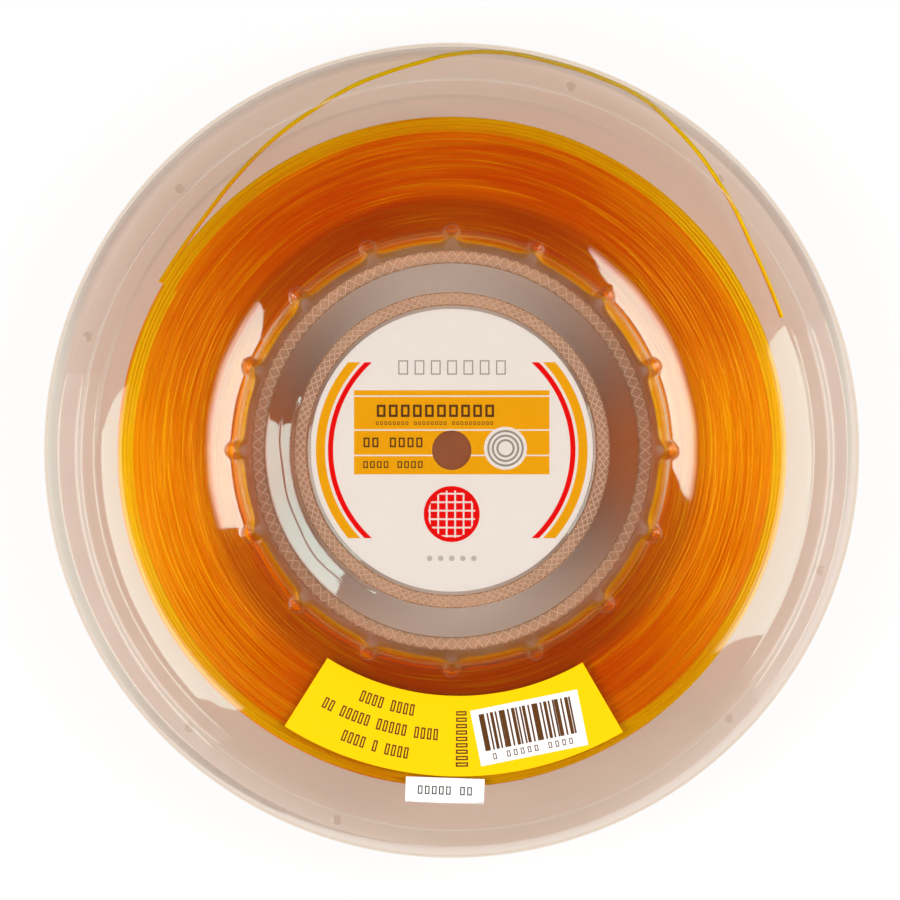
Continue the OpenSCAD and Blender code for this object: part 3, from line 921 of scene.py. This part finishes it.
def faceHeightAt(radius):
    path = shellPath()
    keep = path[:, 0] > shell["footRadius"] + shell["wallLean"] / 2  # past the wall's foot
    return np.interp(radius, path[keep, 0], path[keep, 1])


def sticker(name, grid, toPlace, material, slot, node, lift=0.05, thick=0.12):
    # a thin sheet over the front flange; toPlace turns shares of its length and height into x and y
    columns, rows = grid
    u, v = np.meshgrid(np.linspace(0, 1, columns), np.linspace(0, 1, rows))
    x, y = toPlace(u, v)
    under = faceHeightAt(np.hypot(x, y)) + lift + midZ
    layers = [np.stack([x, y, under + rise], -1).reshape(-1, 3) for rise in (thick, 0)]

    def at(layer, column, row):
        return (layer * rows + row) * columns + column

    faces = []
    for j in range(rows - 1):
        for i in range(columns - 1):
            faces.append((at(0, i, j), at(0, i + 1, j), at(0, i + 1, j + 1), at(0, i, j + 1)))
            faces.append((at(1, i, j + 1), at(1, i + 1, j + 1), at(1, i + 1, j), at(1, i, j)))
    right, top = columns - 1, rows - 1
    border = [(i, 0) for i in range(right)] + [(right, j) for j in range(top)]
    border += [(i, top) for i in range(right, 0, -1)] + [(0, j) for j in range(top, 0, -1)]
    for a, b in zip(border, border[1:] + border[:1]):
        faces.append((at(0, *b), at(0, *a), at(1, *a), at(1, *b)))
    return addPiece(name, np.concatenate(layers) * mm, faces, material, slot, node)


def sizeLabelPlace(u, v):
    s = sizeLabel
    a = np.radians(s["middle"] + (u - 0.5) * s["span"])
    r = s["inner"] + (1 - v) * s["width"]
    return s["shift"] + r * np.cos(a), r * np.sin(a)


def batchLabelPlace(u, v):
    b = batchLabel
    x, y = (u - 0.5) * b["length"], (v - 0.5) * b["height"]
    t = math.radians(b["tilt"])
    return x * math.cos(t) - y * math.sin(t) - b["left"], x * math.sin(t) + y * math.cos(t) - b["below"]


cardDisc()
sticker("sizeLabel", sizeLabel["grid"], sizeLabelPlace, sizeMaterial(), "yellow_sticker", "size_label")
sticker("batchLabel", batchLabel["grid"], batchLabelPlace, batchMaterial(), "white_sticker", "batch_label")
print("labels laid")

studio = {
    "floorSize": 3.0, "floorDrop": 0.2, "floorColour": (0.8, 0.77, 0.74), "whiteReach": 150.0,
    # radius in millimetres and share of the flat tone, which is white beside the reel; under the reel the
    # share paints light and shade that change with the radius
    "floorWhiteAndPaintedShade": ((0, 0.0), (63, 0.0), (66, 0.2), (102, 0.5), (123.2, 0.5), (126.4, 0.88)),
    # the painted warm shade under the reel, where it turns white beside it, and the painted light on the
    # hub's floor
    "paintedUnderShade": (0.82, 0.69, 0.63), "whiteFrom": 123.2, "whiteIn": 2.6,
    "hubPaintedLight": 0.56, "hubSpan": (42.0, 61.0),
    "panelDistance": 1.0, "panelColour": (0.6, 0.84, 0.79), "overheadColour": (0.66, 0.69, 0.67),
    # the heights between which the panels take their overhead colour, and lose their light
    "overhead": (0.93, 0.953), "feather": (0.95, 0.989), "fadeMiddle": -0.15, "panelSteps": 13,
    # the azimuths between which each panel stands at its top and at its foot, its tilts from overhead,
    # its strength, and how far out it begins and ends to fade
    "panels": {
        "softboxRight": ((-39, 18), (-30, 21), (6, 61), 5.0, (1.5, 2)),
        "softboxLeft": ((167, 234), (176, 224), (6, 61), 5.0, (1.5, 2)),
        "stripRight": ((-55, 45), (-55, 45), (71, 90), 1.0, (0.25, 0.7)),
        "stripLeft": ((135, 245), (135, 245), (71, 90), 1.0, (0.25, 0.7))},
    "lamps": {"lampRight": 4, "lampLeft": 196}, "lampDistance": 1.1,
    "lampTilt": 57, "lampSize": (0.5, 0.5), "lampPower": 11.6,
    "sky": (0.9, 0.15), "ceiling": 0.02, "horizon": 0.08, "skyFade": (0.1, 0.55),
    "glowColour": (1.0, 0.2, 0.0), "glowPower": 0.0006, "glowSize": (0.03, 0.03), "glowHeight": 0.01,
    "glowPlaces": (-0.05, 0.0, 0.05),
}


def floorMaterial():
    s = studio
    material, graph = newMaterial("floor")
    path = graph.node("ShaderNodeLightPath")
    seen = path.high(path.other("Is Glossy Ray")).high(path.other("Is Transmission Ray"))
    plain = graph.plain("ShaderNodeBsdfDiffuse", s["floorColour"])
    x, y, _ = objectPlace(graph)
    radius = length(x, y)
    # under the reel the flat tone is a painted warm shade
    outside = ((radius - s["whiteFrom"]) / s["whiteIn"]).clipped()
    tone = graph.mix(outside, s["paintedUnderShade"], (1, 1, 1))
    white = graph.node("ShaderNodeEmission", inputs={"Color": tone, "Strength": 1.0})
    # the paper is white beside the reel, and keeps most of the shade that the reel throws under itself; under
    # the reel the flat tone's share is painted light and shade
    beside = graph.shares(radius, s["whiteReach"], s["floorWhiteAndPaintedShade"])
    # painted light: towards the reel's top and foot the floor inside the hub is painted brighter, where it
    # lies clear of the string's shadow
    hub = y * y / radius / radius * within(radius, *s["hubSpan"]) * s["hubPaintedLight"]
    surface(graph, graph.blend(seen * (beside + hub), plain, white))
    return material


def stagePiece(name, points, faces, material):
    mesh = bpy.data.meshes.new(name)
    mesh.from_pydata(points, [], faces)
    mesh.materials.append(material)
    piece = newObject(name, mesh)
    return piece


def layFloor():
    size, low = studio["floorSize"], -studio["floorDrop"] * mm
    corners = [(-size, -size, low), (size, -size, low), (size, size, low), (-size, size, low)]
    stagePiece("floor", corners, [(0, 1, 2, 3)], floorMaterial())


def fromReel(azimuth, tilt):
    a, t = math.radians(azimuth), math.radians(tilt)
    return Vector((math.cos(a) * math.sin(t), math.sin(a) * math.sin(t), math.cos(t)))


def areaLamp(name, shape, size, power, colour=(1, 1, 1)):
    light = bpy.data.lights.new(name, "AREA")
    light.shape, light.energy, light.color = shape, power, colour
    light.size, light.size_y = size
    lamp = newObject(name, light)
    lamp.visible_glossy = lamp.visible_camera = lamp.visible_transmission = False
    return lamp


def sideLamp(name, azimuth):
    s = studio
    toLight = fromReel(azimuth, s["lampTilt"])
    lamp = areaLamp(name, "RECTANGLE", s["lampSize"], s["lampPower"])
    lamp.location = toLight * s["lampDistance"]
    lamp.rotation_euler = toLight.to_track_quat("Z", "Y").to_euler()


def mirroredPanel(name, top, foot, tilts, strength, fade):
    # only glossy surfaces see it, and its edge nearest the ceiling is feathered
    s = studio
    material, graph = newMaterial(name)
    _, y, z = objectPlace(graph)
    smooth = {"interpolation_type": "SMOOTHSTEP"}
    glow = graph.change(z * mm, s["feather"], (strength, 0.0), **smooth)
    side = graph.change(abs(y * mm - s["fadeMiddle"]), fade, (1.0, 0.0), **smooth)
    high = graph.change(z * mm, s["overhead"], (0.0, 1.0))
    tone = graph.mix(high, s["panelColour"], s["overheadColour"])
    surface(graph, graph.node("ShaderNodeEmission", inputs={"Color": tone, "Strength": glow * side}))
    steps = s["panelSteps"]
    points, faces = [], []
    for share in np.linspace(0, 1, steps):
        ends = [a + (b - a) * share for a, b in zip(top, foot)]
        tilt = tilts[0] + (tilts[1] - tilts[0]) * share
        points += [fromReel(azimuth, tilt) * s["panelDistance"] for azimuth in np.linspace(*ends, steps)]
    for i in range(steps - 1):
        for j in range(steps - 1):
            k = i * steps + j
            faces.append((k, k + 1, k + steps + 1, k + steps))
    panel = stagePiece(name, points, faces, material)
    panel.visible_camera = panel.visible_diffuse = panel.visible_shadow = panel.visible_transmission = False


def hubGlow():
    # the light that comes through the string to the floor inside the hub
    s = studio
    for i, place in enumerate(s["glowPlaces"]):
        lamp = areaLamp(f"hubGlow{i}", "ELLIPSE", s["glowSize"], s["glowPower"], s["glowColour"])
        lamp.location = (place, 0, s["glowHeight"])


def studioWorld():
    s = studio
    world = bpy.data.worlds.new("studio")
    bpy.context.scene.world = world
    world.use_nodes = True
    world.node_tree.nodes.clear()
    graph = Graph(world.node_tree)
    path = graph.node("ShaderNodeLightPath")
    way = graph.node("ShaderNodeTexCoord", out="Generated")
    height = graph.node("ShaderNodeSeparateXYZ", inputs={0: way}, out="Z")
    overhead = graph.change(height, s["skyFade"], (s["horizon"], s["ceiling"]))
    mirrored = path.other("Is Glossy Ray")
    sky = s["sky"][0] + height.high(0) * (s["sky"][1] - s["sky"][0])
    strength = sky * (1 - mirrored) + overhead * mirrored
    sky = graph.plain("ShaderNodeBackground", (1, 1, 1), Strength=strength)
    white = graph.plain("ShaderNodeBackground", (1, 1, 1), Strength=1.0)
    graph.node("ShaderNodeOutputWorld", inputs={"Surface": graph.blend(path, sky, white)})


layFloor()
for lampName, azimuth in studio["lamps"].items():
    sideLamp(lampName, azimuth)
for panelName, panel in studio["panels"].items():
    mirroredPanel(panelName, *panel)
hubGlow()
studioWorld()
bpy.context.scene.view_settings.view_transform = "Standard"
bpy.context.scene.cycles.transparent_max_bounces = 24  # a ray meets many clear sheets
print("studio set")
